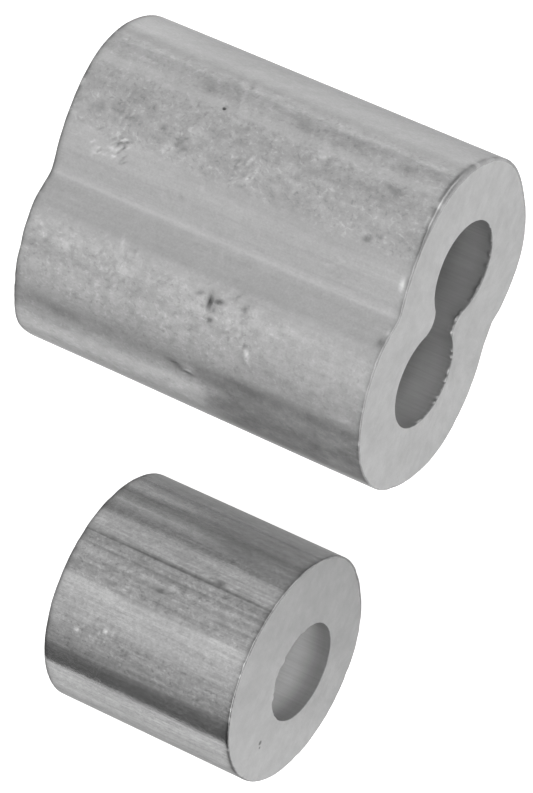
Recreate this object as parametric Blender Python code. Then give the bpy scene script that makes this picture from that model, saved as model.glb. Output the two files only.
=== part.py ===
"""Swage ferrule and stop sleeve for 6.35 mm (1/4 in) wire rope, as two loose aluminium pieces.

The hourglass ferrule has two barrels that share one figure-eight bore, and closes a rope
loop. The round stop has one bore, and is pressed on a rope's end. They lie side by side on
a bench, each with its bore along Y and its front end towards -Y. The origin is on the
bench, under the middle of the pair. Units are metres, +Z is up.
"""

import math

import bmesh
import bpy

MM = 0.001

# Rope and the bore that lets it in
ROPE_DIAMETER = 6.35 * MM
ROPE_CLEARANCE = 0.9 * MM
BORE_RADIUS = (ROPE_DIAMETER + ROPE_CLEARANCE) / 2

# Hourglass ferrule: two barrels with a shallow waist along each broad side
FERRULE_LENGTH = 28.2 * MM
BARREL_RADIUS = 8.05 * MM
BARREL_SPACING = 7.75 * MM
WAIST_THICKNESS = 14.9 * MM
BORE_NECK = 3.5 * MM

# The pair of barrels isn't quite true in the bar: it is turned a little, and sits a little high
BORE_TURN = math.radians(3.5)
BORE_RISE = 0.2 * MM

# Round stop, with a bore drilled a little off the body's axis (across, up)
STOP_LENGTH = 15.1 * MM
STOP_RADIUS = 8.25 * MM
STOP_BORE_OFFSET = (-0.15 * MM, -0.85 * MM)

# Sawn and tumbled ends
RIM_ROUNDING = 0.2 * MM
RIM_SEGMENTS = 2

# Place of the pair on the bench
GAP_BETWEEN_PIECES = 5.2 * MM
STOP_FORWARD = 5.8 * MM
FERRULE_WIDTH = BARREL_SPACING + 2 * BARREL_RADIUS
PAIR_WIDTH = FERRULE_WIDTH + GAP_BETWEEN_PIECES + 2 * STOP_RADIUS
FERRULE_CENTRE_X = PAIR_WIDTH / 2 - FERRULE_WIDTH / 2
STOP_CENTRE_X = STOP_RADIUS - PAIR_WIDTH / 2

# Length of the arcs' chords, and how far a cutter runs past the ends
OUTER_CHORD = 0.55 * MM
BORE_CHORD = 0.42 * MM
CUTTER_OVERRUN = 2.0 * MM

# Colours of the two cleaned aluminium surfaces
FERRULE_COLOUR = (0.60, 0.60, 0.60, 1.0)
FERRULE_ROUGHNESS = 0.45
STOP_COLOUR = (0.56, 0.56, 0.56, 1.0)
STOP_ROUGHNESS = 0.32

SHARP_ANGLE = math.radians(40)


def clear_scene():
    for obj in list(bpy.data.objects):
        bpy.data.objects.remove(obj, do_unlink=True)


def arc(centre, radius, start, end, chord):
    """Points (x, z) along an arc, without its last one."""
    steps = max(2, round(abs(end - start) * radius / chord))
    angles = [start + (end - start) * i / steps for i in range(steps)]
    return [(centre[0] + radius * math.cos(a), centre[1] + radius * math.sin(a)) for a in angles]


def circle_outline(radius, centre, chord):
    return arc(centre, radius, 0.0, 2 * math.pi, chord)


def hourglass_outline(lobe_radius, spacing, waist_thickness, chord):
    """Two equal lobes side by side, joined by waist arcs that are tangent to both."""
    c = spacing / 2
    h = waist_thickness / 2
    waist_radius = (c * c + h * h - lobe_radius**2) / (2 * (lobe_radius - h))
    waist_centre = h + waist_radius
    lobe_half_sweep = math.atan2(waist_centre, -c)
    waist_half_sweep = math.atan2(c, waist_centre)
    quarter = math.pi / 2
    right = arc((c, 0.0), lobe_radius, -lobe_half_sweep, lobe_half_sweep, chord)
    top = arc((0.0, waist_centre), waist_radius, waist_half_sweep - quarter,
              -waist_half_sweep - quarter, chord)
    left = arc((-c, 0.0), lobe_radius, math.pi - lobe_half_sweep,
               math.pi + lobe_half_sweep, chord)
    bottom = arc((0.0, -waist_centre), waist_radius, quarter + waist_half_sweep,
                 quarter - waist_half_sweep, chord)
    return right + top + left + bottom


def turned(outline, angle, rise):
    """The outline turned about its middle, from +X towards +Z, then raised."""
    c = math.cos(angle)
    s = math.sin(angle)
    return [(x * c - z * s, x * s + z * c + rise) for x, z in outline]


def extruded(name, outline, length):
    """A closed prism with its outline in XZ, centred on the origin along Y."""
    bm = bmesh.new()
    verts = [bm.verts.new((x, -length / 2, z)) for x, z in outline]
    front = bm.faces.new(verts)
    sweep = bmesh.ops.extrude_face_region(bm, geom=[front])
    moved = [item for item in sweep["geom"] if isinstance(item, bmesh.types.BMVert)]
    bmesh.ops.translate(bm, vec=(0.0, length, 0.0), verts=moved)
    bmesh.ops.recalc_face_normals(bm, faces=bm.faces)
    mesh = bpy.data.meshes.new(name)
    bm.to_mesh(mesh)
    bm.free()
    obj = bpy.data.objects.new(name, mesh)
    bpy.context.scene.collection.objects.link(obj)
    return obj


def metal(name, colour, roughness):
    material = bpy.data.materials.new(name)
    material.use_nodes = True
    shader = material.node_tree.nodes["Principled BSDF"]
    shader.inputs["Base Color"].default_value = colour
    shader.inputs["Metallic"].default_value = 1.0
    shader.inputs["Roughness"].default_value = roughness
    return material


def round_end_rims(obj):
    bevel = obj.modifiers.new("end_rims", "BEVEL")
    bevel.width = RIM_ROUNDING
    bevel.segments = RIM_SEGMENTS
    bevel.limit_method = "ANGLE"
    bevel.angle_limit = SHARP_ANGLE


def cut_bore(obj, outline, length):
    """A bore right through the piece, cut by a wire-drawn prism."""
    cutter = extruded(obj.name + "_bore_cutter", outline, length + 2 * CUTTER_OVERRUN)
    cutter.hide_render = True
    cutter.display_type = "WIRE"
    cutter.parent = obj
    cut = obj.modifiers.new("bore", "BOOLEAN")
    cut.operation = "DIFFERENCE"
    cut.object = cutter


def sleeve(name, outline, bore_outline, length, place, material):
    """A sawn length of bored bar: rounded end rims, then the bore cut through them."""
    obj = extruded(name, outline, length)
    obj.location = place
    obj.data.materials.append(material)
    round_end_rims(obj)
    cut_bore(obj, bore_outline, length)
    obj.data.shade_smooth()
    obj.data.set_sharp_from_angle(angle=SHARP_ANGLE)
    return obj


def double_barrel_ferrule():
    outline = hourglass_outline(BARREL_RADIUS, BARREL_SPACING, WAIST_THICKNESS, OUTER_CHORD)
    square_bore = hourglass_outline(BORE_RADIUS, BARREL_SPACING, BORE_NECK, BORE_CHORD)
    bore = turned(square_bore, BORE_TURN, BORE_RISE)
    place = (FERRULE_CENTRE_X, 0.0, BARREL_RADIUS)
    material = metal("ferrule_aluminium", FERRULE_COLOUR, FERRULE_ROUGHNESS)
    return sleeve("double_barrel_ferrule", outline, bore, FERRULE_LENGTH, place, material)


def stop_sleeve():
    outline = circle_outline(STOP_RADIUS, (0.0, 0.0), OUTER_CHORD)
    bore = circle_outline(BORE_RADIUS, STOP_BORE_OFFSET, BORE_CHORD)
    place = (STOP_CENTRE_X, -STOP_FORWARD, STOP_RADIUS)
    material = metal("stop_aluminium", STOP_COLOUR, STOP_ROUGHNESS)
    return sleeve("stop_sleeve", outline, bore, STOP_LENGTH, place, material)


def main():
    clear_scene()
    double_barrel_ferrule()
    stop_sleeve()


main()
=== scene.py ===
"""Looks of the wire rope ferrule and stop: two bare aluminium sleeves on a pale table.

Each sleeve's CAD node is replaced by a finely divided skin of the same size. A skin is one
closed grid of rings. The rings run out of the bore, over the front end's sawn face, along
the drawn outside, over the rear end's face and back through the bore, so rims, burrs,
drawing lines, dents and pits are all real geometry. Materials add what is finer than that.
"""

import itertools
import math

import bpy
import numpy as np
from mathutils import Matrix, Vector


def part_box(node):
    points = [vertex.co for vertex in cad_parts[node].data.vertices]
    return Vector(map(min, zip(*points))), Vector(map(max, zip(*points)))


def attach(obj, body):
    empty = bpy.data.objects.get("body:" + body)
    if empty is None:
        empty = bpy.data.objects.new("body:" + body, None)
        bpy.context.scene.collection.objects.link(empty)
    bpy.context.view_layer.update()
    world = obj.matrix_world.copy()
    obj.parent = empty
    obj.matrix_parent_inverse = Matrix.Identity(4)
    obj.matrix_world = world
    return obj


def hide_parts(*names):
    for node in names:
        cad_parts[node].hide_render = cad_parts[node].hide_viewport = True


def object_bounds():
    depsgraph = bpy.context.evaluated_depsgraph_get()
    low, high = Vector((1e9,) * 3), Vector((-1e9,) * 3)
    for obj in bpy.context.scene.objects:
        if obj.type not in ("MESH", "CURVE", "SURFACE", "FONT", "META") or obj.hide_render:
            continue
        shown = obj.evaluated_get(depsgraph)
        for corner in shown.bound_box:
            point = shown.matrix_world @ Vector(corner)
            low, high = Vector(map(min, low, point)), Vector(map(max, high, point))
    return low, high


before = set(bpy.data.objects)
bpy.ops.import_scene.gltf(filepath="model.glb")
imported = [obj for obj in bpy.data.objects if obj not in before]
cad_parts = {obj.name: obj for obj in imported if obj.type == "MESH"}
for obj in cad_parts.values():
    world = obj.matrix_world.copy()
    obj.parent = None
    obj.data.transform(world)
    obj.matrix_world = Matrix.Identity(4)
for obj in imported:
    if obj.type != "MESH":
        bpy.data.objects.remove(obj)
cad_low, cad_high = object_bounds()

MM = 0.001
TAU = 2 * math.pi
QUARTER = math.pi / 2

# ---------------------------------------------------------------- sizes in mm, as in the CAD model
BORE_RADIUS = 3.625
BARREL_SPACING = 7.75
WAIST_THICKNESS = 14.9
BORE_NECK = 3.5
BORE_TURN = math.radians(3.5)
BORE_RISE = 0.2
STOP_BORE_OFFSET = (-0.15, -0.85)

# ---------------------------------------------------------------- wear of the end rims
# Place round the sleeve from its top middle, half width and extra rim radius, all in mm
FRONT_RIM_WEAR = [(9.5, 4.0, 0.30), (21.5, 4.5, 0.35)]
STOP_RIM_WEAR = [(18.5, 3.5, 0.40)]

# ---------------------------------------------------------------- greys of the aluminium
FERRULE_GREY = 0.505
FERRULE_METALLIC = 0.55
FERRULE_FACE_GREY = 0.535
FERRULE_BORE_GREY = 0.33
STOP_GREY = 0.52
STOP_METALLIC = 0.9
STOP_FACE_GREY = 0.475
STOP_BORE_GREY = 0.41

# ---------------------------------------------------------------- how finely a skin is divided
FERRULE_COLUMNS = 440
STOP_COLUMNS = 400
SIDE_STEP = 0.17
FACE_RINGS = 15
RIM_RINGS = 5
BORE_RINGS = 34
OUTLINE_STEPS = 800
# How far along the outside a rim's own tone fades out, in mm
RIM_TONE_REACH = 0.16
SHARP_ANGLE = math.radians(38)
# Rings on a face lie a little closer together near the bore
FACE_RING_SPREAD = 1.15

# The bore's edge at an end: depth in mm, and share of the burr
BURR_SHAPE = ((0.5, 0.0), (0.3, 0.12), (0.18, 0.4), (0.09, 0.8), (0.03, 1.0))
# Only a burr higher than this, in mm, gets a painted highlight: on its lip and on the face beside
# it
GLINTLESS_BURR = 0.08
BURR_LIP_GLINT = 14.0
BURR_FACE_GLINT = 1.2
# The burr stands proud of the face by this share; its rise and its painted highlight fade over the
# face at these rates
BURR_PROUD = 0.5
BURR_PROUD_FADE = 14
BURR_GLINT_FADE = 20
# The face starts this share of the burr into the bore, less so many mm
BURR_FACE_SHARE = 0.85
BURR_FACE_STEP = 0.02

# ---------------------------------------------------------------- camera
CAMERA_AZIMUTH = 12.34
CAMERA_ELEVATION = 64.60
CAMERA_ROLL = 79.79
CAMERA_DISTANCE = 399.1 * MM
CAMERA_AIM = (0.75 * MM, -0.01 * MM, 0.0)
LENS_MM = 260.6


# ================================================================ noise
def hashed(cells, seed):
    """A repeatable number from -1 to 1 for each whole-numbered lattice cell."""
    mixed = cells[..., 0] * 73856093 ^ cells[..., 1] * 19349663 ^ cells[..., 2] * 83492791
    mixed = (mixed ^ seed * 2654435761) & 0xFFFFFFFF
    mixed = (mixed ^ mixed >> 15) * 2246822519 & 0xFFFFFFFF
    mixed = (mixed ^ mixed >> 13) * 3266489917 & 0xFFFFFFFF
    return (mixed ^ mixed >> 16) / 0x7FFFFFFF - 1


def noise(points, cell, seed):
    """Smooth noise from -1 to 1 at each point, on a lattice of that cell size per axis."""
    scaled = points / np.array(cell)
    corner = np.floor(scaled).astype(np.int64)
    part = scaled - corner
    part = part * part * (3 - 2 * part)
    total = np.zeros(points.shape[:-1])
    for step in itertools.product((0, 1), repeat=3):
        weight = np.prod(np.where(step, part, 1 - part), axis=-1)
        total += weight * hashed(corner + np.array(step), seed)
    return total


def smooth(value, start, end):
    t = np.clip((value - start) / (end - start), 0, 1)
    return t * t * (3 - 2 * t)


# ================================================================ outlines
def arc_points(centre, radius, start, end, steps):
    angles = np.linspace(start, end, steps, endpoint=False)
    return np.c_[centre[0] + radius * np.cos(angles), centre[1] + radius * np.sin(angles)]


def hourglass(radius, spacing, waist):
    """Closed outline of two lobes and two tangent waist arcs, anticlockwise from the +X end."""
    c = spacing / 2
    h = waist / 2
    waist_radius = (c * c + h * h - radius**2) / (2 * (radius - h))
    k = h + waist_radius
    lobe = math.atan2(k, -c)
    dip = math.atan2(c, k)
    return np.vstack([
        arc_points((c, 0), radius, 0, lobe, OUTLINE_STEPS),
        arc_points((0, k), waist_radius, dip - QUARTER, -dip - QUARTER, OUTLINE_STEPS),
        arc_points((-c, 0), radius, math.pi - lobe, math.pi + lobe, 2 * OUTLINE_STEPS),
        arc_points((0, -k), waist_radius, QUARTER + dip, QUARTER - dip, OUTLINE_STEPS),
        arc_points((c, 0), radius, -lobe, 0, OUTLINE_STEPS),
    ])


def evenly(outline, count):
    """The closed outline resampled to count points, evenly spaced along it."""
    closed = np.vstack([outline, outline[:1]])
    along = np.r_[0, np.cumsum(np.linalg.norm(np.diff(closed, axis=0), axis=1))]
    wanted = np.linspace(0, along[-1], count, endpoint=False)
    return np.c_[np.interp(wanted, along, closed[:, 0]), np.interp(wanted, along, closed[:, 1])]


def outward(outline):
    """Unit normals that point out of a closed anticlockwise outline."""
    tangent = np.roll(outline, -1, axis=0) - np.roll(outline, 1, axis=0)
    normal = np.c_[tangent[:, 1], -tangent[:, 0]]
    return normal / np.linalg.norm(normal, axis=1)[:, None]


def distance_from_top(outline):
    """Signed distance round the outline from its top middle, positive towards +X."""
    step = np.linalg.norm(np.diff(np.vstack([outline, outline[:1]]), axis=0), axis=1)
    along = np.r_[0, np.cumsum(step)][:-1]
    girth = step.sum()
    # The point nearest to x = 0 in the outline's upper half
    top = along[np.argmin(np.abs(outline[:, 0]) - 1e3 * (outline[:, 1] > 0))]
    return (top - along + girth / 2) % girth - girth / 2


def bell(around, place, width):
    return np.exp(-(((around - place) / width) ** 2))


def notch(around, place, half_width):
    return np.clip(1 - np.abs(around - place) / half_width, 0, 1)


def untrue(outline):
    """The ferrule's drawn section: fuller and leaner in places, with a crease at each waist."""
    around = distance_from_top(outline)
    offset = sum(amount * bell(around, place, width) for place, width, amount in OUT_OF_TRUE)
    girth = around.max() - around.min()
    for place in WAIST_CREASES:
        turned_round = (around - place + girth / 2) % girth - girth / 2
        offset -= CREASE_DEPTH * notch(turned_round, 0.0, CREASE_HALF_WIDTH)
    return outline + outward(outline) * offset[:, None]


def turned(outline, angle, rise):
    c = math.cos(angle)
    s = math.sin(angle)
    x, z = outline[:, 0], outline[:, 1]
    return np.c_[x * c - z * s, x * s + z * c + rise]


def ring_at(outline, y=0.0):
    """The outline as points in space, at a place along the sleeve."""
    return np.c_[outline[:, 0], np.broadcast_to(y, len(outline)), outline[:, 1]]


# The ferrule's outside: place round it from the top middle, half width and offset, all in mm
OUT_OF_TRUE = [
    (9.5, 3.8, 0.52),
    (21.5, 4.0, -0.30),
    (-24.5, 3.2, 0.26),
    (-8.0, 3.0, -0.16),
    (-2.6, 1.2, 0.12),
    (1.4, 1.0, 0.10),
    (-17.0, 3.0, 0.08),
]
# The same, growing towards the rear end
REAR_UNTRUE = [(-12.3, 1.8, 0.17), (-15.6, 1.8, -0.08), (-6.0, 0.7, -0.10)]
WAIST_CREASES = (-0.35, 32.3)
CREASE_DEPTH = 0.12
CREASE_HALF_WIDTH = 0.9


# ================================================================ marks and relief
# Places on a sleeve's outside are (around, along): millimetres round it from its top middle,
# positive towards +X, and millimetres along its bore, positive towards the back.

def band(value, low, high, soft):
    """1 between low and high, 0 outside, with soft edges."""
    return smooth(value, low - soft, low + soft) * (1 - smooth(value, high - soft, high + soft))


def oval(around, along, place, size, slant):
    """Squared distance from a place, in units of an oval's half width and half length."""
    across = around - place[0]
    down = along - place[1]
    c, s = math.cos(slant), math.sin(slant)
    return ((across * c + down * s) / size[0]) ** 2 + ((down * c - across * s) / size[1]) ** 2


def spot(around, along, place, size, slant):
    """A soft oval, 1 at its middle."""
    return np.exp(-oval(around, along, place, size, slant))


# The lip round a dent: share of its depth, place in half widths, and how narrow it is
LIP_HEIGHT = 0.18
LIP_PLACE = 1.6
LIP_NARROWNESS = 3


def dent(around, along, place, size, depth, slant):
    """A pit with a low lip round it, as a height in mm."""
    away = oval(around, along, place, size, slant)
    lip = LIP_HEIGHT * np.exp(-LIP_NARROWNESS * (np.sqrt(away) - LIP_PLACE) ** 2)
    return depth * (lip - np.exp(-away))


def strokes(around, along, seed, place, spread, count, length, width, slant, slant_spread):
    """Many short thin scratches round a place, each 1 or -1 at its middle, in turn."""
    rng = np.random.default_rng(seed)
    total = np.zeros(around.shape)
    for i in range(count):
        at = [place[axis] + spread[axis] * rng.uniform(-1, 1) for axis in (0, 1)]
        size = (width, length * rng.uniform(0.5, 1.2))
        sign = 1 if i % 2 else -1
        total += sign * spot(around, along, at, size, slant + slant_spread * rng.uniform(-1, 1))
    return total


def strips(around, along, rows, mottles):
    """The sum of a table's strips. A row holds a change, a shape round the sleeve and a shape
    along it, each as a function and its numbers, and how mottled the strip is: how much of it
    is plain, and how much goes with the broad, middle and small mottle."""
    total = np.zeros(around.shape)
    for change, (shape, *place), (run, *ends), (plain, *shares) in rows:
        mottling = plain + sum(share * mottle for share, mottle in zip(shares, mottles))
        total += change * shape(around, *place) * run(along, *ends) * mottling
    return total


def mark(relief, tone, around, along, dents, stains_and_glints, scuffs, scuff_depth):
    """Adds every dent, scuff and stain of the tables to the relief and the tone; some stains of the
    ferrule are painted highlights.
    """
    for place, size, depth, slant in dents:
        relief += dent(around, along, place, size, depth, slant)
    for place, size, change, slant in stains_and_glints:
        tone += change * spot(around, along, place, size, slant)
    for *scuff, strength in scuffs:
        scratches = strokes(around, along, *scuff)
        tone += strength * scratches
        relief -= scuff_depth * np.abs(scratches)


# Shapes along a sleeve: all of it, and growing towards its front
ALL_ALONG = (np.ones_like,)
NEARER = (smooth, 8.0, -2.0)
# Mottling of a strip that has none
PLAIN = (1, 0, 0, 0)
# No mark is darker than this
DARKEST_TONE = 0.12

# Cell sizes in mm of the broad, middle and small mottle, and the first one's seed
FERRULE_MOTTLE = [(2.6, 4.5, 2.6), (0.9, 1.3, 0.9), (0.38, 0.48, 0.38)]
FERRULE_MOTTLE_SEED = 11
STOP_MOTTLE = [(1.8, 5.0, 1.8), (0.7, 1.0, 0.7), (0.30, 0.40, 0.30)]
STOP_MOTTLE_SEED = 21

# The brightest mark, and how deep a scuff is in mm
FERRULE_BRIGHTEST = 2.2
FERRULE_SCUFF_DEPTH = 0.005
STOP_BRIGHTEST = 2.4
STOP_SCUFF_DEPTH = 0.004

# How scuffed the ferrule's outside is: everywhere, and more in strips
FERRULE_SCUFFED = 0.22
FERRULE_SCUFFED_STRIPS = [
    # change, shape round the sleeve, shape along it, mottling
    (0.75, (band, -9.0, -3.6, 1.3), ALL_ALONG, PLAIN),
    (-0.35, (band, -9.0, -3.6, 1.3), (smooth, -2.0, -9.0), PLAIN),
    (0.90, (band, 3.5, 8.1, 0.4), ALL_ALONG, PLAIN),
    (0.45, (band, -13.5, -9.4, 0.7), ALL_ALONG, PLAIN),
    (0.55, (band, 8.6, 11.0, 0.4), ALL_ALONG, PLAIN),
]
# Strips of tone: partly the metal's own bands and patches, partly painted light and shade that even
# out how the studio light falls on the ferrule
FERRULE_TONE_AND_LIGHT_STRIPS = [
    # change, shape round the sleeve, shape along it, mottling
    # Painted highlight along the waist crease
    (0.03, (bell, -0.35, 0.16), ALL_ALONG, (1, 1, 0, 0)),
    (-0.025, (band, -2.7, -0.5, 0.2), ALL_ALONG, PLAIN),
    (-0.07, (band, 3.5, 7.8, 0.5), ALL_ALONG, (1, 0.8, 0.5, 0)),
    (0.03, (band, 8.1, 9.0, 0.2), ALL_ALONG, PLAIN),
    (-0.02, (bell, 9.2, 0.8), ALL_ALONG, (1, 1, 1.3, 0)),
    (-0.09, (bell, 9.2, 0.8), NEARER, (1, 1, 1.3, 0)),
    (-0.10, (bell, 4.0, 0.45), (band, -7.0, 3.0, 1.5), (0.6, 0, 1.5, 1)),
    (-0.11, (bell, 9.35, 0.6), NEARER, (1, 0, 1, 0)),
    (-0.07, (bell, 6.7, 0.7), NEARER, (1, 0, 1, 0)),
    (-0.10, (bell, 3.2, 0.8), (smooth, 9.0, 0.0), PLAIN),
    (-0.12, (bell, -7.7, 0.8), (smooth, -3.0, -7.0), PLAIN),
    (0.09, (band, -8.7, -6.7, 0.5), ALL_ALONG, PLAIN),
    # Painted reflection of the dark stop, on the front of the left flank
    (-0.31, (band, -14.5, -8.9, 0.5), (smooth, 0.0, -4.0), (1, 0, 0.4, 0)),
    (0.12, (bell, -10.8, 0.9), (smooth, -4.0, 2.0), PLAIN),
    (-0.11, (bell, -9.7, 0.6), (smooth, -6.0, 0.0), (1, 0, 1.6, 1)),
    # Painted reflection of the table, brightening the left lobe's lower flank
    (0.30, (smooth, -13.7, -15.3), ALL_ALONG, PLAIN),
    (0.20, (bell, -10.6, 0.6), (smooth, -5.0, 2.0), PLAIN),
    # The next two rows are painted reflection of the table, brightening the right lobe's lower
    # flank
    (0.05, (smooth, 11.3, 12.5), ALL_ALONG, PLAIN),
    (0.10, (smooth, 11.3, 12.5), (smooth, 7.0, 13.0), PLAIN),
    (-0.13, (bell, 9.5, 1.0), (bell, 6.0, 2.4), (0.7, 0, 1.6, 1.2)),
    (-0.12, (bell, 6.4, 1.2), (bell, 9.6, 1.6), (0.6, 0, 1.6, 1.2)),
    (-0.12, (bell, -3.0, 0.8), ALL_ALONG, PLAIN),
    (-0.10, (bell, 4.8, 0.6), ALL_ALONG, PLAIN),
    (0.07, (band, 7.3, 8.6, 0.3), ALL_ALONG, PLAIN),
    # The next three rows are painted reflection: a light line, a lighter lower flank and a dark
    # line that correct the right flank's reflections
    (0.17, (bell, 10.1, 0.42), ALL_ALONG, PLAIN),
    (0.06, (band, 12.9, 16.5, 0.4), ALL_ALONG, PLAIN),
    (-0.15, (bell, 11.15, 0.5), ALL_ALONG, PLAIN),
]
# Flanks of the ferrule with fine slanted lines: from, to and softness of the edges
FERRULE_SLANTED_LINES = [(10.8, 15.0, 0.4), (-14.0, -10.6, 0.4)]
LINE_SLANT = 0.8
LINE_STRETCH = 10 / 3

PIT_PLACE = (8.25, 3.5)
# On the stop's front face: x and z from its middle, radius
STOP_FACE_NICKS = [(-5.4, 1.25, 0.22), (-5.75, 1.05, 0.13)]
FERRULE_DENTS = [
    # (around, along), (half width, half length), depth, slant
    (PIT_PLACE, (0.14, 0.14), 0.14, 0.0),
    ((-4.4, -1.2), (0.42, 0.15), 0.07, 0.2),
    ((-4.1, -1.7), (0.14, 0.30), 0.07, 0.3),
    ((-5.6, -1.4), (0.14, 0.16), 0.05, 0.0),
    ((-4.2, -0.2), (0.12, 0.22), 0.04, 0.5),
    ((-4.0, -3.7), (0.22, 0.15), 0.05, 0.2),
    ((-4.5, -3.3), (0.10, 0.40), 0.03, 0.4),
    ((-6.5, -4.6), (0.32, 0.13), 0.08, 0.4),
    ((-10.1, -0.2), (0.18, 0.45), 0.07, 0.2),
    ((-9.7, 0.6), (0.12, 0.30), 0.05, -0.3),
    ((-8.3, -12.9), (0.12, 0.70), 0.06, 0.35),
    ((-3.1, 6.6), (0.35, 0.10), 0.03, 0.3),
    ((5.1, 9.6), (0.13, 0.25), 0.04, 0.2),
    ((5.3, 6.9), (0.16, 0.16), 0.04, 0.0),
    ((3.9, -10.4), (0.18, 0.24), 0.05, 0.0),
    ((7.6, -11.0), (0.20, 0.20), 0.04, 0.4),
    ((1.4, 3.9), (0.12, 0.35), 0.03, -0.6),
    ((9.8, -7.4), (0.15, 0.20), 0.03, 0.0),
]
FERRULE_STAINS_AND_GLINTS = [
    # (around, along), (half width, half length), change of tone, slant
    ((-4.4, -1.05), (0.55, 0.20), -0.85, 0.15),
    ((-4.15, -1.7), (0.20, 0.42), -0.75, 0.25),
    ((-4.8, -1.5), (0.22, 0.16), -0.45, 0.0),
    ((-5.55, -1.4), (0.22, 0.26), -0.70, 0.3),
    ((-4.1, -0.1), (0.16, 0.34), -0.45, 0.5),
    ((-4.0, -3.7), (0.26, 0.20), -0.45, 0.2),
    ((-4.7, -3.45), (0.35, 0.08), 0.30, 0.3),
    ((-6.3, -4.45), (0.24, 0.13), -0.75, 0.0),
    ((-6.7, -4.7), (0.42, 0.14), 0.75, 0.4),
    ((-10.15, -0.2), (0.13, 0.75), -0.75, -0.15),
    ((-10.35, -0.9), (0.10, 0.45), 0.35, -0.15),
    ((-9.75, 0.7), (0.13, 0.55), -0.60, -0.25),
    ((-9.6, -0.5), (0.10, 0.40), 0.25, -0.15),
    (PIT_PLACE, (0.15, 0.18), -0.50, 0.0),
    ((5.1, 9.6), (0.20, 0.35), -0.34, 0.2),
    ((5.3, 6.9), (0.24, 0.24), -0.36, 0.0),
    ((4.9, 5.1), (0.25, 0.45), -0.20, 0.4),
    ((3.9, -10.2), (0.24, 0.35), -0.45, 0.4),
    ((4.3, -11.0), (0.20, 0.25), -0.30, 0.4),
    ((7.6, -10.6), (0.30, 0.80), -0.28, 0.0),
    ((7.5, 1.2), (0.28, 0.24), -0.26, 0.2),
    ((4.9, 11.8), (0.50, 0.40), -0.14, 0.2),
    ((9.8, -7.4), (0.22, 0.28), -0.16, 0.0),
    ((9.9, -12.4), (0.22, 0.50), -0.16, 0.0),
    ((10.6, 8.3), (0.30, 0.25), -0.16, 0.0),
    ((10.2, 3.6), (0.16, 1.10), -0.16, -1.1),
    ((9.6, 2.4), (0.14, 0.60), -0.12, -1.1),
    ((5.8, -3.8), (0.25, 0.20), -0.14, 0.0),
    ((1.5, 3.9), (0.15, 0.30), -0.16, -0.6),
    ((-2.3, -2.3), (0.30, 0.15), -0.12, 0.0),
    ((-3.0, 6.6), (0.45, 0.12), 0.28, 0.35),
    ((-4.9, 6.0), (0.45, 0.10), 0.22, 0.35),
    ((-4.6, 5.7), (0.40, 0.09), 0.18, 0.35),
    ((2.1, 11.2), (0.35, 0.22), 0.25, -0.3),
    # The next two rows are painted highlights, glints by the front rim
    ((1.9, -13.6), (0.45, 0.16), 0.80, 0.0),
    ((6.5, -13.7), (0.45, 0.16), 0.55, 0.0),
    ((-2.3, -13.7), (0.30, 0.25), -0.40, 0.0),
    # Painted highlight, a glint by the front rim
    ((-1.5, -13.9), (0.25, 0.14), 0.45, 0.0),
    ((-8.2, -12.8), (0.14, 0.60), 0.35, 0.35),
    ((8.0, -4.8), (0.35, 0.35), 0.12, 0.0),
    ((2.8, 2.6), (0.30, 0.12), 0.14, 0.0),
    ((-1.1, -0.4), (0.40, 0.08), 0.10, 0.3),
]
FERRULE_SCUFFS = [
    # seed, (around, along), spread, count, length, half width, slant, slant spread, strength
    (81, (2.8, 10.2), (0.9, 1.4), 30, 0.30, 0.065, 0.8, 0.5, 0.42),
    (82, (-4.3, 6.6), (1.3, 1.6), 40, 0.28, 0.10, 1.2, 0.4, 0.14),
    (83, (5.0, 9.8), (1.7, 0.5), 16, 0.90, 0.09, 1.25, 0.1, 0.13),
    (84, (4.6, 0.0), (0.8, 1.0), 34, 0.40, 0.08, 0.8, 0.9, 0.18),
    (85, (4.9, 5.1), (0.6, 0.6), 16, 0.30, 0.08, 0.6, 0.8, 0.16),
    (86, (-4.6, -3.4), (1.5, 1.2), 26, 0.40, 0.09, 0.9, 0.8, 0.14),
    (87, (10.2, 3.4), (1.2, 1.3), 12, 0.70, 0.10, -1.1, 0.2, 0.13),
    (88, (9.9, -4.0), (1.1, 0.8), 10, 0.80, 0.09, -1.1, 0.1, 0.12),
    (89, (1.2, -8.6), (0.8, 0.6), 10, 0.40, 0.09, 0.2, 0.5, 0.10),
    (90, (8.0, -4.6), (0.6, 0.8), 14, 0.20, 0.10, 0.2, 0.8, 0.15),
    (91, (-4.8, 12.0), (1.2, 1.4), 22, 0.40, 0.12, 0.4, 0.8, 0.12),
]


def mottle_noises(points, cells, seed):
    return [noise(points, cell, seed + i) for i, cell in enumerate(cells)]


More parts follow.
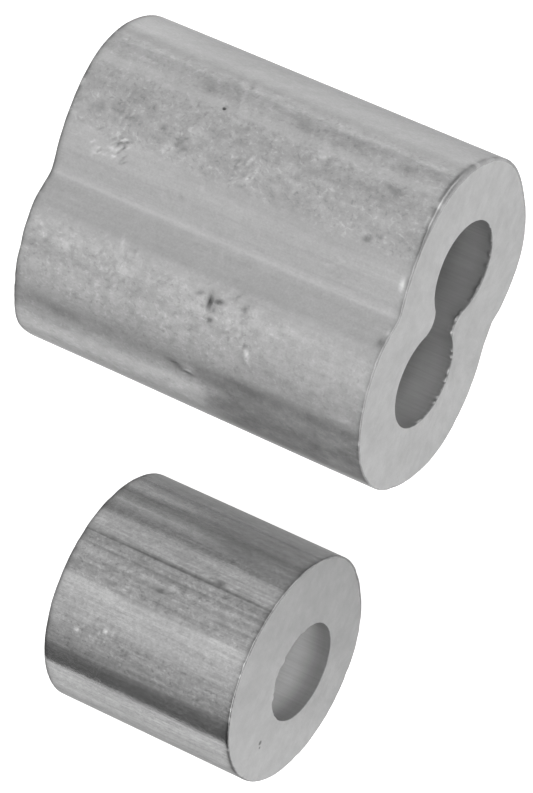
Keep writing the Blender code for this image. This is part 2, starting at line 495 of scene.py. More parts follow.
def ferrule_side_marks(points, around, along):
    """Relief in mm, tone as a factor, and how scuffed each place is from 0 to 1."""
    mottles = mottle_noises(points, FERRULE_MOTTLE, FERRULE_MOTTLE_SEED)
    broad, middle, small = mottles
    drawn = noise(points, (0.45, 40, 0.45), 14)
    slanted = np.stack([around + LINE_SLANT * along, along / LINE_STRETCH, 0 * along], -1)
    scuffed = FERRULE_SCUFFED + strips(around, along, FERRULE_SCUFFED_STRIPS, mottles)
    scuffed = np.clip(scuffed, 0, 1)
    rear = smooth(along, -14.0, 14.0)
    relief = 0.018 * noise(points, (3.0, 9.0, 3.0), 16) + 0.003 * drawn
    relief += rear * sum(amount * bell(around, *place) for *place, amount in REAR_UNTRUE)
    relief += scuffed * (0.006 * middle + 0.0035 * small)
    tone = 1 + 0.022 * broad + 0.014 * drawn + scuffed * (0.055 * middle + 0.11 * small)
    lined = sum(band(around, *place) for place in FERRULE_SLANTED_LINES)
    tone += 0.035 * noise(slanted, (0.6, 1.2, 1), 15) * lined
    tone += strips(around, along, FERRULE_TONE_AND_LIGHT_STRIPS, mottles)
    mark(relief, tone, around, along, FERRULE_DENTS, FERRULE_STAINS_AND_GLINTS, FERRULE_SCUFFS,
         FERRULE_SCUFF_DEPTH)
    return relief, np.clip(tone, DARKEST_TONE, FERRULE_BRIGHTEST), scuffed


STOP_LINES = [
    # around, half width, depth, change of tone, first place along, last place along
    (-3.5, 0.12, 0.006, -0.10, -9, 1),
    (-2.7, 0.10, 0.006, -0.10, -9, 2),
    (1.25, 0.10, 0.006, -0.08, -9, 9),
    (1.8, 0.10, 0.006, -0.08, -9, 9),
    (2.4, 0.12, 0.007, -0.10, -9, 9),
    (3.1, 0.10, 0.006, -0.10, -9, 9),
    (3.55, 0.12, 0.009, -0.14, -9, 9),
    (4.02, 0.11, 0.016, -0.42, -9, 9),
    (4.45, 0.07, 0.007, -0.16, -7, 0.5),
    (4.75, 0.07, 0.007, -0.16, -7, 0.8),
    (5.05, 0.07, 0.007, -0.14, -7, 0.6),
    (5.35, 0.07, 0.007, -0.12, -7, 0.2),
]
# The columns of the next tables are the ferrule's
STOP_DENTS = [
    ((2.15, 0.3), (0.16, 0.26), 0.05, 0.0),
    ((4.25, -3.2), (0.22, 0.30), 0.05, 0.0),
    ((2.8, -1.2), (0.30, 0.14), 0.04, 0.4),
    ((-2.9, 1.1), (0.25, 0.14), 0.03, 0.0),
    ((-2.8, 3.9), (0.20, 0.14), 0.03, 0.0),
    ((6.4, -3.0), (0.20, 0.20), 0.04, 0.0),
    ((0.2, -2.3), (0.14, 0.20), 0.03, 0.0),
]
STOP_STAINS = [
    ((2.15, 0.3), (0.20, 0.30), -0.40, 0.0),
    ((4.25, -3.2), (0.26, 0.36), -0.45, 0.0),
    ((2.8, -1.2), (0.32, 0.16), -0.30, 0.4),
    ((-2.7, 5.15), (0.15, 0.13), 1.10, 0.0),
    ((-2.0, 3.0), (0.15, 0.13), 1.10, 0.0),
    ((-1.9, 2.5), (0.20, 0.08), 0.70, 0.3),
    ((-2.3, 3.4), (0.12, 0.10), 0.60, 0.0),
    ((-1.4, 4.4), (0.20, 0.08), 0.50, 0.0),
    ((-3.2, 2.2), (0.14, 0.10), 0.50, 0.4),
    ((-2.9, 1.1), (0.26, 0.18), -0.30, 0.0),
    ((-1.9, 3.9), (0.20, 0.15), -0.30, 0.0),
    ((0.2, -2.3), (0.16, 0.24), -0.18, 0.0),
    ((6.4, -3.0), (0.25, 0.22), -0.30, 0.0),
]
# The strip of the stop where the drawing lines are deepest
STOP_STREAKED = (0.8, 4.15, 0.15)
STOP_SCUFFED = 0.35
STOP_SCUFFED_STRIPS = [
    (0.55, (band, *STOP_STREAKED), ALL_ALONG, PLAIN),
    (0.45, (band, -4.3, -2.1, 0.2), ALL_ALONG, PLAIN),
]
# Strips of tone: partly the metal's own bands, partly painted reflection on the lower flanks
STOP_TONE_AND_LIGHT_STRIPS = [
    (-0.11, (band, *STOP_STREAKED), ALL_ALONG, PLAIN),
    (-0.20, (bell, 0.95, 0.55), (band, -4.0, 3.0, 1.5), PLAIN),
    (0.15, (band, 1.5, 4.0, 0.3), (smooth, 2.5, 6.5), PLAIN),
    (-0.08, (band, 5.2, 6.3, 0.3), ALL_ALONG, PLAIN),
    (0.12, (band, 8.0, 10.8, 0.5), ALL_ALONG, PLAIN),
    # The next two rows are painted reflection of the table, brightening the lower flanks towards +X
    # and towards -X
    (0.30, (smooth, 11.0, 12.6), ALL_ALONG, PLAIN),
    (0.30, (band, -10.6, -8.3, 0.6), ALL_ALONG, PLAIN),
    (0.07, (bell, -7.5, 0.5), ALL_ALONG, PLAIN),
]
STOP_SCUFFS = [
    (95, (-2.5, 3.0), (1.3, 1.9), 36, 0.30, 0.08, 1.3, 0.3, 0.17),
    (96, (3.8, -3.2), (1.4, 1.4), 26, 0.35, 0.07, 0.3, 0.5, 0.20),
    (97, (2.1, 3.4), (1.2, 1.4), 30, 0.40, 0.08, 0.3, 0.6, 0.16),
    (98, (-2.7, -3.6), (1.1, 2.6), 30, 0.60, 0.08, 0.05, 0.2, 0.12),
]


def stop_side_marks(points, around, along):
    """Relief, tone and scuffing of the stop's outside, as for the ferrule."""
    mottles = mottle_noises(points, STOP_MOTTLE, STOP_MOTTLE_SEED)
    broad, middle, small = mottles
    drawn = noise(points, (0.30, 9, 0.30), 24)
    fine = noise(points, (0.16, 14, 0.16), 25)
    scuffed = STOP_SCUFFED + strips(around, along, STOP_SCUFFED_STRIPS, mottles)
    scuffed = np.clip(scuffed, 0, 1)
    relief = 0.0045 * noise(points, (2.4, 30, 2.4), 26) + 0.0012 * drawn + 0.0006 * fine
    relief += scuffed * (0.0016 * middle + 0.0016 * small)
    tone = 1 + 0.05 * broad + scuffed * (0.09 * middle + 0.14 * small)
    streaked = band(around, *STOP_STREAKED)
    tone += (0.07 + 0.14 * streaked) * drawn + (0.06 + 0.08 * streaked) * fine
    tone += strips(around, along, STOP_TONE_AND_LIGHT_STRIPS, mottles)
    for place, width, depth, change, first, last in STOP_LINES:
        line = bell(around, place, width) * band(along, first, last, 0.5)
        relief -= depth * line
        tone += change * line * (1 + 0.5 * middle)
    mark(relief, tone, around, along, STOP_DENTS, STOP_STAINS, STOP_SCUFFS, STOP_SCUFF_DEPTH)
    return relief, np.clip(tone, DARKEST_TONE, STOP_BRIGHTEST), scuffed


def face_relief(points, seed):
    """A sawn face: slow waves and fine parallel saw marks, in mm."""
    relief = 0.020 * noise(points, (5, 5, 5), seed)
    relief += 0.006 * noise(points, (1.2, 1.2, 1.2), seed + 1)
    relief += 0.0025 * noise(points, (3.0, 3.0, 0.3), seed + 2)
    return relief


def face_tone(points, seed, lean):
    """Mottled grey, with painted shade: a little darker towards +X by lean."""
    tone = 1 - lean * points[..., 0]
    for strength, cell, step in ((0.035, 2.2, 3), (0.040, 0.7, 4), (0.040, 0.3, 5)):
        tone += strength * noise(points, [cell] * 3, seed + step)
    return tone


# ================================================================ skin of a sleeve
class Sleeve:
    """What a skin is made from, in mm. Outlines are XZ points round the sleeve's own centre."""

    def __init__(self, outer, bore, length, side_marks, rims, rim_tones, burr, bore_tone,
                 face_shade_lean, seed):
        self.outer = outer
        self.bore = bore
        self.half = length / 2
        self.side_marks = side_marks
        self.normal = outward(outer)
        self.bore_normal = outward(bore)
        self.around = distance_from_top(outer)
        self.rims = rims
        self.rim_tones = rim_tones
        self.burr = burr
        self.bore_tone = bore_tone
        self.face_shade_lean = face_shade_lean
        self.seed = seed

    def side_rings(self):
        """The outside from the front rim to the rear one, with its relief and marks."""
        front, rear = self.rims
        steps = int(round(2 * self.half / SIDE_STEP))
        t = np.linspace(0, 1, steps + 1)[:, None]
        y = (-self.half + front) * (1 - t) + (self.half - rear) * t
        x = np.broadcast_to(self.outer[:, 0], y.shape)
        z = np.broadcast_to(self.outer[:, 1], y.shape)
        base = np.stack([x, y, z], -1)
        around = np.broadcast_to(self.around, y.shape)
        relief, tone, scuffed = self.side_marks(base, around, y)
        front_edge, rear_edge = self.rim_tones
        tone = tone * (1 + (front_edge - 1) * np.exp((y[:1] - y) / RIM_TONE_REACH))
        tone = tone * (1 + (rear_edge - 1) * np.exp((y - y[-1:]) / RIM_TONE_REACH))
        out = np.stack([self.normal[:, 0], np.zeros(len(front)), self.normal[:, 1]], -1)
        return base + out * relief[..., None], relief, tone, scuffed

    def end_rings(self, side, end_relief, end_tone):
        """One end, from inside the bore, over the burr, face and rim, to the outside."""
        rim = self.rims[int(side > 0)]
        rings = []
        tones = []
        burr = self.burr(self.bore, side)
        # Painted highlight: how strongly each part of a high burr is brightened
        glinting = np.clip(burr - GLINTLESS_BURR, 0, 1)
        for depth, share in BURR_SHAPE:
            lip = self.bore - self.bore_normal * (burr * share)[:, None]
            rings.append(ring_at(lip, -self.half + depth))
            # Painted highlight: only the half of the lip towards -X is made brighter, as if it
            # caught the light
            bright = glinting * share * smooth(-self.bore[:, 0], -1.0, 0.5)
            tones.append(self.bore_tone(self.bore, depth) * (1 + BURR_LIP_GLINT * bright))
        edge = burr * BURR_FACE_SHARE - BURR_FACE_STEP
        edge = self.bore - self.bore_normal * edge[:, None]
        inset = self.outer + self.normal * (end_relief - rim)[:, None]
        for i in range(FACE_RINGS):
            t = (i / (FACE_RINGS - 1)) ** FACE_RING_SPREAD
            ring = ring_at(edge * (1 - t) + inset * t, -self.half)
            ring[:, 1] += face_relief(ring, self.seed + 7 * (side > 0))
            ring[:, 1] -= BURR_PROUD * burr * (1 - t) ** BURR_PROUD_FADE
            rings.append(ring)
            tone = face_tone(ring, self.seed, self.face_shade_lean)
            # Painted highlight on the face beside a high burr
            tones.append(tone + BURR_FACE_GLINT * glinting * (1 - t) ** BURR_GLINT_FADE)
        face_end = rings[-1][:, 1] + self.half
        face_end_tone = tones[-1]
        for i in range(1, RIM_RINGS):
            a = i / RIM_RINGS * QUARTER
            line = inset + self.normal * (rim * math.sin(a))[:, None]
            y = -self.half + rim * (1 - math.cos(a)) + face_end * math.cos(a)
            rings.append(ring_at(line, y))
            share = math.sqrt(i / RIM_RINGS)
            tones.append(face_end_tone * (1 - share) + end_tone * share)
        rings = np.array(rings)
        rings[..., 1] *= -side
        return rings, np.array(tones)

    def bore_rings(self):
        """The bore's wall between the two burrs, slightly wavy."""
        reach = self.half - BURR_SHAPE[0][0]
        depths = np.linspace(reach, -reach, BORE_RINGS)[1:-1]
        rings = []
        tones = []
        for depth in depths:
            ring = ring_at(self.bore, depth)
            wobble = 0.012 * noise(ring, (0.8, 9, 0.8), self.seed + 31)
            ring[:, 0] += self.bore_normal[:, 0] * wobble
            ring[:, 2] += self.bore_normal[:, 1] * wobble
            rings.append(ring)
            tones.append(self.bore_tone(self.bore, self.half - abs(depth)))
        return np.array(rings), np.array(tones)

    def rings(self):
        """Every ring in order, with its tone, scuffing, and kind: 0 outside, 1 face, 2 bore."""
        side, relief, tone, scuffed = self.side_rings()
        front, front_tone = self.end_rings(-1, relief[0], tone[0])
        rear, rear_tone = self.end_rings(1, relief[-1], tone[-1])
        bore, bore_tone = self.bore_rings()
        count = len(self.outer)
        lip = len(BURR_SHAPE)
        rim = RIM_RINGS - 1
        points = np.concatenate([front, side, rear[::-1], bore])
        tones = np.concatenate([front_tone, tone, rear_tone[::-1], bore_tone])
        quiet = np.zeros((len(front), count))
        scuffs = np.concatenate([quiet, scuffed, quiet, np.zeros((len(bore), count))])
        kinds = [2] * lip + [1] * (FACE_RINGS - 1) + [0] * (rim + len(side) + rim + 1)
        kinds += [1] * (FACE_RINGS - 1) + [2] * lip
        kinds += [2] * (len(points) - len(kinds))
        return points, tones, scuffs, kinds


def skin(name, sleeve, centre, materials):
    """The closed mesh. materials are (outside, face, bore wall)."""
    points, tones, scuffs, kinds = sleeve.rings()
    points = points * MM + np.array(centre)
    total, count = points.shape[:2]
    r, c = np.meshgrid(np.arange(total), np.arange(count), indexing="ij")
    r2 = (r + 1) % total
    c2 = (c + 1) % count
    quads = np.stack([r * count + c, r * count + c2, r2 * count + c2, r2 * count + c], -1)
    mesh = bpy.data.meshes.new(name)
    mesh.from_pydata(points.reshape(-1, 3).tolist(), [], quads.reshape(-1, 4).tolist())
    for material in materials:
        mesh.materials.append(material)
    mesh.polygons.foreach_set("material_index", np.repeat(kinds, count).astype(np.int32))
    for label, values in (("tone", tones), ("scuff", scuffs)):
        layer = mesh.attributes.new(label, "FLOAT", "POINT")
        layer.data.foreach_set("value", values.reshape(-1).astype(np.float32))
    mesh.shade_smooth()
    mesh.set_sharp_from_angle(angle=SHARP_ANGLE)
    obj = bpy.data.objects.new(name, mesh)
    bpy.context.scene.collection.objects.link(obj)
    return obj


# ================================================================ materials
# Nearly all of a noise texture lies between these two values
NOISE_LOW = 0.3
NOISE_HIGH = 0.7


class Metal:
    """A Principled metal: its colour, roughness and bump are built from noise in millimetres."""

    def __init__(self, name, metallic, edge_tint):
        self.material = bpy.data.materials.new(name)
        self.material.use_nodes = True
        self.tree = self.material.node_tree
        self.shader = self.tree.nodes["Principled BSDF"]
        self.shader.inputs["Metallic"].default_value = metallic
        self.shader.inputs["Specular Tint"].default_value = (edge_tint, edge_tint, edge_tint, 1)
        self.shader.inputs["Specular IOR Level"].default_value = 0.0
        self.coords = self.tree.nodes.new("ShaderNodeTexCoord")

    def noise(self, stretch, detail=2.0, roughness=0.5, distortion=0.0):
        """Noise whose grain is stretch mm long along X, Y and Z."""
        scale = self.tree.nodes.new("ShaderNodeVectorMath")
        scale.operation = "MULTIPLY"
        scale.inputs[1].default_value = [1 / (s * MM) for s in stretch]
        grain = self.tree.nodes.new("ShaderNodeTexNoise")
        grain.inputs["Scale"].default_value = 1.0
        grain.inputs["Detail"].default_value = detail
        grain.inputs["Roughness"].default_value = roughness
        grain.inputs["Distortion"].default_value = distortion
        self.tree.links.new(self.coords.outputs["Object"], scale.inputs[0])
        self.tree.links.new(scale.outputs[0], grain.inputs["Vector"])
        return grain.outputs["Fac"]

    def attribute(self, name):
        node = self.tree.nodes.new("ShaderNodeAttribute")
        node.attribute_name = name
        return node.outputs["Fac"]

    def remap(self, value, low, high, to_low, to_high):
        node = self.tree.nodes.new("ShaderNodeMapRange")
        node.inputs["From Min"].default_value = low
        node.inputs["From Max"].default_value = high
        node.inputs["To Min"].default_value = to_low
        node.inputs["To Max"].default_value = to_high
        self.tree.links.new(value, node.inputs["Value"])
        return node.outputs["Result"]

    def vary(self, grain, amount):
        """A factor that goes up to amount either side of 1."""
        return self.remap(grain, NOISE_LOW, NOISE_HIGH, 1 - amount, 1 + amount)

    def combine(self, operation, *values):
        node = self.tree.nodes.new("ShaderNodeMath")
        node.operation = operation
        for socket, value in zip(node.inputs, values):
            if isinstance(value, (int, float)):
                socket.default_value = value
            else:
                self.tree.links.new(value, socket)
        return node.outputs[0]

    def speck(self, place, radius, change):
        """A factor of 1, and 1 plus change within radius mm of a place."""
        away = self.tree.nodes.new("ShaderNodeVectorMath")
        away.operation = "DISTANCE"
        away.inputs[1].default_value = place
        self.tree.links.new(self.coords.outputs["Object"], away.inputs[0])
        return self.remap(away.outputs["Value"], 0.55 * radius * MM, radius * MM, 1 + change, 1.0)

    def where_scuffed(self, change):
        """A factor of 1 plus change, where the skin is scuffed."""
        return self.combine("MULTIPLY_ADD", change, self.attribute("scuff"), 1.0)

    def colour(self, grey, factors):
        """grey times the skin's tone and every factor."""
        value = self.combine("MULTIPLY", self.attribute("tone"), grey)
        for factor in factors:
            value = self.combine("MULTIPLY", value, factor)
        self.tree.links.new(value, self.shader.inputs["Base Color"])

    def roughness(self, value):
        self.tree.links.new(value, self.shader.inputs["Roughness"])

    def bump(self, height, distance):
        node = self.tree.nodes.new("ShaderNodeBump")
        node.inputs["Strength"].default_value = 1.0
        node.inputs["Distance"].default_value = distance
        self.tree.links.new(height, node.inputs["Height"])
        self.tree.links.new(node.outputs["Normal"], self.shader.inputs["Normal"])


def ferrule_skin_material(pit):
    metal = Metal("ferrule_drawn_skin", FERRULE_METALLIC, 0.5)
    mottle = metal.noise((0.6, 0.8, 0.6), detail=3, roughness=0.65)
    grain = metal.noise((0.14, 0.18, 0.14), detail=3, roughness=0.65)
    streak = metal.noise((0.30, 16, 0.30), detail=2)
    fine = metal.noise((0.09, 4, 0.09), detail=2)
    fleck = metal.noise((0.28, 0.36, 0.28), detail=2, distortion=0.6)
    metal.colour(FERRULE_GREY, [
        metal.vary(streak, 0.025),
        metal.vary(fine, 0.015),
        metal.vary(grain, 0.06),
        metal.where_scuffed(metal.remap(mottle, NOISE_LOW, NOISE_HIGH, -0.12, 0.12)),
        metal.where_scuffed(metal.remap(fleck, 0.58, 0.70, 0.0, 0.20)),
        metal.where_scuffed(metal.remap(fleck, 0.26, 0.42, -0.22, 0.0)),
        metal.speck(pit, 0.17, -0.85),
    ])
    metal.roughness(metal.remap(mottle, 0.25, 0.75, 0.16, 0.26))
    rough = metal.combine("ADD", grain, mottle)
    height = metal.combine("MULTIPLY_ADD", rough, metal.attribute("scuff"), fine)
    metal.bump(height, 0.006 * MM)
    return metal.material


def stop_skin_material():
    metal = Metal("stop_drawn_skin", STOP_METALLIC, 0.45)
    streak = metal.noise((0.22, 7, 0.22), detail=3, roughness=0.65)
    fine = metal.noise((0.08, 3, 0.08), detail=2)
    grain = metal.noise((0.18, 0.26, 0.18), detail=3, roughness=0.7)
    mottle = metal.noise((0.6, 1.1, 0.6), detail=3, roughness=0.65)
    fleck = metal.noise((0.22, 0.32, 0.22), detail=2, distortion=0.6)
    metal.colour(STOP_GREY, [
        metal.vary(streak, 0.10),
        metal.vary(fine, 0.05),
        metal.vary(grain, 0.13),
        metal.vary(mottle, 0.08),
        metal.where_scuffed(metal.remap(fleck, 0.58, 0.72, 0.0, 0.28)),
        metal.where_scuffed(metal.remap(fleck, 0.28, 0.42, -0.36, 0.0)),
    ])
    metal.roughness(metal.remap(grain, 0.25, 0.75, 0.09, 0.17))
    metal.bump(metal.combine("ADD", fine, grain), 0.002 * MM)
    return metal.material


def sawn_face_material(name, grey, nicks=()):
    metal = Metal(name, 0.5, 0.7)
    cloud = metal.noise((1.6, 1.6, 1.6), detail=4)
    grain = metal.noise((0.14, 0.14, 0.14), detail=3)
    marks = metal.noise((4.0, 4.0, 0.16), detail=2)
    metal.colour(grey, [
        metal.vary(cloud, 0.04),
        metal.vary(grain, 0.05),
        metal.vary(marks, 0.015),
        *(metal.speck(place, radius, -0.55) for place, radius in nicks),
    ])
    metal.roughness(metal.remap(grain, NOISE_LOW, NOISE_HIGH, 0.42, 0.58))
    metal.bump(metal.combine("ADD", grain, marks), 0.008 * MM)
    return metal.material


def bore_wall_material(name, grey):
    metal = Metal(name, 0.2, 0.7)
    cloud = metal.noise((1.2, 2.4, 1.2), detail=3)
    lines = metal.noise((0.12, 5, 0.12), detail=2)
    metal.colour(grey, [
        metal.vary(cloud, 0.05),
        metal.vary(lines, 0.06),
    ])
    metal.roughness(metal.remap(lines, NOISE_LOW, NOISE_HIGH, 0.5, 0.65))
    metal.bump(lines, 0.010 * MM)
    return metal.material


# ================================================================ the two sleeves
def uneven_rim(outline, size, worn, seed):
    """The rim's radius round the end: a sharp sawn edge, worn in places, with a few chips."""
    ring = ring_at(outline)
    around = distance_from_top(outline)
    rim = size * (1 + 0.30 * noise(ring, [1.5] * 3, seed) + 0.25 * noise(ring, [0.4] * 3, seed + 1))
    chip = smooth(noise(ring, [0.9] * 3, seed + 2), 0.5, 0.85)
    rim += 0.7 * size * chip
    for place, width, extra in worn:
        rim += extra * bell(around, place, width)
    return rim


def rim_tone(outline, level, fleck, seed, dimmed_span=None, dimming=0.6):
    """Tone of the rim round an end: set by level, darker over a dimmed span where one is given,
    with bright worn flecks.
    """
    ring = ring_at(outline)
    tone = level * (1 + 0.25 * noise(ring, [0.7] * 3, seed))
    if dimmed_span:
        tone = tone * (1 - dimming * band(distance_from_top(outline), *dimmed_span, 0.8))
    worn = smooth(noise(ring, [0.4] * 3, seed + 1), 0.30, 0.75)
    worn = worn * smooth(noise(ring, [2.5] * 3, seed + 2), -0.2, 0.2)
    return tone + fleck * worn


def ferrule_bore_tone_and_light(bore, depth):
    """Painted light and shade: dark at the mouth and brighter deeper in, evening out the light that
    falls into the bore; a little brighter on the -X side.
    """
    return (1 + 0.2 * smooth(-bore[:, 0], 1.0, 5.0)) * (0.62 + 0.42 * smooth(depth, 0.2, 2.4))


def stop_bore_painted_light(bore, depth):
    """Painted light: darker at the mouth and brighter a few millimetres in, where less light
    reaches the wall.
    """
    return np.full(len(bore), 0.54 + 1.35 * smooth(depth, 0.5, 2.9))


def ferrule_burr(bore, side):
    """Ragged metal pushed over the bore's lower edge by the saw, in mm."""
    ring = ring_at(bore, side)
    low = smooth(-bore[:, 1], 0.2, 1.8)
    ragged = 0.5 + 0.5 * noise(ring, [0.42] * 3, 41) + 0.35 * noise(ring, [0.2] * 3, 42)
    return 0.015 + 0.30 * low * np.clip(ragged, 0, 1.4) ** 2


def stop_burr(bore, side):
    """A lower burr, highest at the bore's top."""
    ring = ring_at(bore, side)
    high = smooth(bore[:, 1], 0.0, 2.4)
    ragged = 0.5 + 0.5 * noise(ring, [0.45] * 3, 43) + 0.3 * noise(ring, [0.2] * 3, 44)
    return 0.02 + (0.05 + 0.09 * high) * np.clip(ragged, 0, 1.4) ** 1.5


def middle_and_size(node):
    """The middle of a CAD node's box in metres, and its size in mm."""
    low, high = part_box(node)
    return (low + high) / 2, (high - low) / MM


def finish_piece(obj, node, body):
    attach(obj, body)
    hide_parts(node)


def build_ferrule():
    centre, size = middle_and_size("double_barrel_ferrule")
    radius = size.z / 2
    nominal = evenly(hourglass(radius, BARREL_SPACING, WAIST_THICKNESS), 2 * FERRULE_COLUMNS)
    outer = evenly(untrue(nominal), FERRULE_COLUMNS)
    square_bore = evenly(hourglass(BORE_RADIUS, BARREL_SPACING, BORE_NECK), FERRULE_COLUMNS)
    bore = turned(square_bore, BORE_TURN, BORE_RISE)
    rims = (
        uneven_rim(outer, size=0.10, worn=FRONT_RIM_WEAR, seed=51),
        uneven_rim(outer, size=0.09, worn=(), seed=55),
    )
    rim_tones = (
        # The dimmed span on the ferrule's front rim is painted shade that damps the overhead's
        # reflection in the worn rim
        rim_tone(outer, level=0.72, fleck=0.35, seed=151, dimmed_span=(4.0, 13.0), dimming=0.35),
        rim_tone(outer, level=0.45, fleck=0.3, seed=155),
    )
    sleeve = Sleeve(outer, bore, size.y, ferrule_side_marks, rims, rim_tones,
                    ferrule_burr, ferrule_bore_tone_and_light, face_shade_lean=0.0, seed=61)
    x, z = outer[np.argmin(np.abs(sleeve.around - PIT_PLACE[0]))]
    materials = (
        ferrule_skin_material(centre + Vector((x, PIT_PLACE[1], z)) * MM),
        sawn_face_material("ferrule_sawn_face", FERRULE_FACE_GREY),
        bore_wall_material("ferrule_bore_wall", FERRULE_BORE_GREY),
    )
    finish_piece(skin("ferrule_metal", sleeve, centre, materials),
                 "double_barrel_ferrule", "ferrule")


def build_stop():
    centre, size = middle_and_size("stop_sleeve")
    outer = evenly(arc_points((0, 0), size.z / 2, 0, TAU, 4 * OUTLINE_STEPS), STOP_COLUMNS)
    bore = arc_points(STOP_BORE_OFFSET, BORE_RADIUS, 0, TAU, 4 * OUTLINE_STEPS)
    bore = evenly(bore, STOP_COLUMNS)
    rims = (
        uneven_rim(outer, size=0.10, worn=STOP_RIM_WEAR, seed=54),
        uneven_rim(outer, size=0.10, worn=(), seed=57),
    )
    rim_tones = (
        rim_tone(outer, level=0.52, fleck=0.5, seed=161, dimmed_span=(-10.0, -3.5)),
        rim_tone(outer, level=0.5, fleck=0.3, seed=165),
    )
    # The stop's end faces get painted shade, darker towards +X, the side that faces the ferrule
    sleeve = Sleeve(outer, bore, size.y, stop_side_marks, rims, rim_tones,
                    stop_burr, stop_bore_painted_light, face_shade_lean=0.018, seed=71)
    front = centre - Vector((0, sleeve.half, 0)) * MM
    nicks = [(front + Vector((x, 0, z)) * MM, radius) for x, z, radius in STOP_FACE_NICKS]
    materials = (
        stop_skin_material(),
        sawn_face_material("stop_sawn_face", STOP_FACE_GREY, nicks),
        bore_wall_material("stop_bore_wall", STOP_BORE_GREY),
    )
    finish_piece(skin("stop_metal", sleeve, centre, materials),
                 "stop_sleeve", "stop")


# ================================================================ table, light and camera
# The table in metres: how far it goes, where it ends on the left, how far it lies below
TABLE_REACH = 3.0
TABLE_LEFT_EDGE = -0.15
TABLE_GAP = 0.02 * MM
TABLE_GREY = 0.6
# Its own glow, as every ray meets it, and what the camera sees on top of that
TABLE_GLOW = 0.28
TABLE_SEEN_GLOW = 0.6


def build_floor():
    """A pale matt table. The camera sees it nearly white, as an overexposed studio sweep."""
    mesh = bpy.data.meshes.new("table_top")
    s = TABLE_REACH
    edge = TABLE_LEFT_EDGE
    mesh.from_pydata([(edge, -s, 0), (s, -s, 0), (s, s, 0), (edge, s, 0)], [], [(0, 1, 2, 3)])
    floor = bpy.data.objects.new("table_top", mesh)
    bpy.context.scene.collection.objects.link(floor)
    floor.location.z = cad_low.z - TABLE_GAP
    material = bpy.data.materials.new("table_white")
    material.use_nodes = True
    tree = material.node_tree
    shader = tree.nodes["Principled BSDF"]
    shader.inputs["Base Color"].default_value = (TABLE_GREY, TABLE_GREY, TABLE_GREY, 1)
    shader.inputs["Roughness"].default_value = 0.9
    shader.inputs["Specular IOR Level"].default_value = 0.0
    path = tree.nodes.new("ShaderNodeLightPath")
    glow = tree.nodes.new("ShaderNodeMath")
    glow.operation = "MULTIPLY_ADD"
    glow.inputs[1].default_value = TABLE_SEEN_GLOW
    glow.inputs[2].default_value = TABLE_GLOW
    tree.links.new(path.outputs["Is Camera Ray"], glow.inputs[0])
    shader.inputs["Emission Color"].default_value = (1, 1, 1, 1)
    tree.links.new(glow.outputs[0], shader.inputs["Emission Strength"])
    mesh.materials.append(material)


SKY = [
    # degrees from overhead, towards +X: level
    (-180, 0.5), (-110, 0.5), (-108, 0.05), (-90, 0.07), (-80, 0.10), (-73, 0.18),
    (-69, 0.31), (-60, 0.42), (-50, 0.54), (-40, 0.58), (-36, 0.70), (-18, 0.80),
    (0, 0.90), (1.5, 0.88), (5, 0.70), (24, 0.63), (36, 0.54), (50, 0.50),
    (51.5, 0.68), (72, 0.64), (75, 0.36), (86, 0.20), (91, 0.3), (180, 0.5),
]
# How the light changes towards the back: from and to (as the Y of a direction), and the
# levels there. The glow overhead is the product of the first two, the rest dims by the third.
GLOW_BACK_EDGE = (0.0, -0.25, 0.0, 1.75)
GLOW_FRONT_EDGE = (-0.75, -0.35, 0.0, 1.0)
DARK_BACK = (0.92, 0.66, 0.45, 1.0)


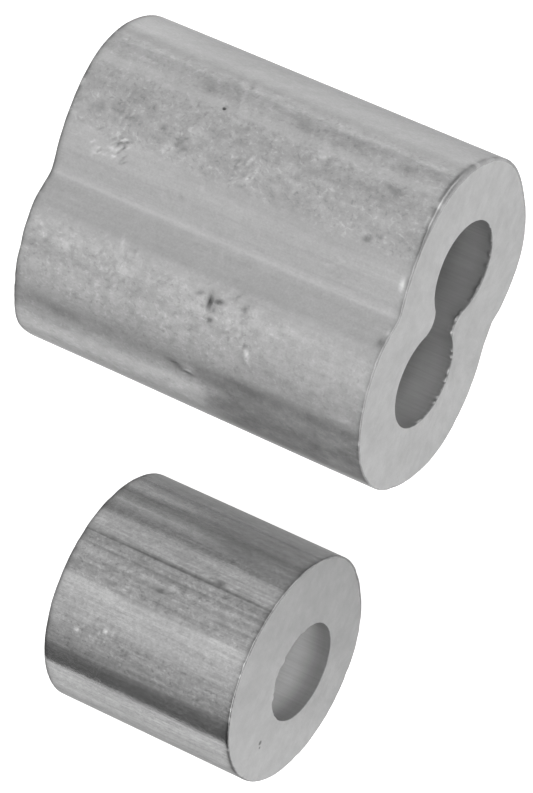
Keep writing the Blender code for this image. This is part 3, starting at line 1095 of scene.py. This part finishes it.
def build_world():
    """Soft light: panels that run along Y with dark gaps, a broad glow overhead, a dark back.
    The camera itself sees plain white."""
    world = bpy.data.worlds.new("studio")
    bpy.context.scene.world = world
    world.use_nodes = True
    tree = world.node_tree
    tree.nodes.clear()
    link = tree.links.new

    def add(kind, **values):
        made = tree.nodes.new("ShaderNode" + kind)
        for key, value in values.items():
            setattr(made, key, value)
        return made

    def fade(*limits):
        made = add("MapRange", interpolation_type="SMOOTHSTEP")
        for label, value in zip(("From Min", "From Max", "To Min", "To Max"), limits):
            made.inputs[label].default_value = value
        link(split.outputs["Y"], made.inputs["Value"])
        return made.outputs["Result"]

    def combined(operation, first, second):
        made = add("Math", operation=operation)
        link(first, made.inputs[0])
        link(second, made.inputs[1])
        return made.outputs[0]

    def white():
        made = add("Background")
        made.inputs["Color"].default_value = (1, 1, 1, 1)
        return made

    coords = add("TexCoord")
    split = add("SeparateXYZ")
    link(coords.outputs["Generated"], split.inputs[0])
    turn = add("MapRange")
    turn.inputs["From Min"].default_value = -math.pi
    turn.inputs["From Max"].default_value = math.pi
    link(combined("ARCTAN2", split.outputs["X"], split.outputs["Z"]), turn.inputs["Value"])
    ramp = add("ValToRGB")
    link(turn.outputs["Result"], ramp.inputs["Fac"])
    panels = combined("MULTIPLY", ramp.outputs["Color"], fade(*DARK_BACK))
    overhead = combined("MULTIPLY", fade(*GLOW_BACK_EDGE), fade(*GLOW_FRONT_EDGE))
    light = white()
    link(combined("ADD", panels, overhead), light.inputs["Strength"])
    path = add("LightPath")
    mix = add("MixShader")
    out = add("OutputWorld")
    link(path.outputs["Is Camera Ray"], mix.inputs["Fac"])
    link(light.outputs[0], mix.inputs[1])
    link(white().outputs[0], mix.inputs[2])
    link(mix.outputs[0], out.inputs["Surface"])
    elements = ramp.color_ramp.elements
    while len(elements) < len(SKY):
        elements.new(0.5)
    for element, (degrees, level) in zip(elements, SKY):
        element.position = (degrees + 180) / 360
        element.color = (level, level, level, 1)


def build_camera():
    """A long lens that looks down on the two sleeves, turned about its own axis."""
    a = math.radians(CAMERA_AZIMUTH)
    e = math.radians(CAMERA_ELEVATION)
    back = Vector((math.sin(a) * math.cos(e), -math.cos(a) * math.cos(e), math.sin(e)))
    across = Vector((0, 0, 1)).cross(back).normalized()
    up = back.cross(across)
    level = Matrix((across, up, back)).transposed()
    rolled = level @ Matrix.Rotation(-math.radians(CAMERA_ROLL), 3, "Z")
    camera = bpy.data.objects.new("camera", bpy.data.cameras.new("camera"))
    bpy.context.scene.collection.objects.link(camera)
    camera.data.lens = LENS_MM
    camera.data.clip_start = 0.01
    place = Matrix.Translation(Vector(CAMERA_AIM) + back * CAMERA_DISTANCE)
    camera.matrix_world = place @ rolled.to_4x4()
    bpy.context.scene.camera = camera


build_ferrule()
build_stop()
build_floor()
build_world()
build_camera()
bpy.context.scene.view_settings.view_transform = "Standard"
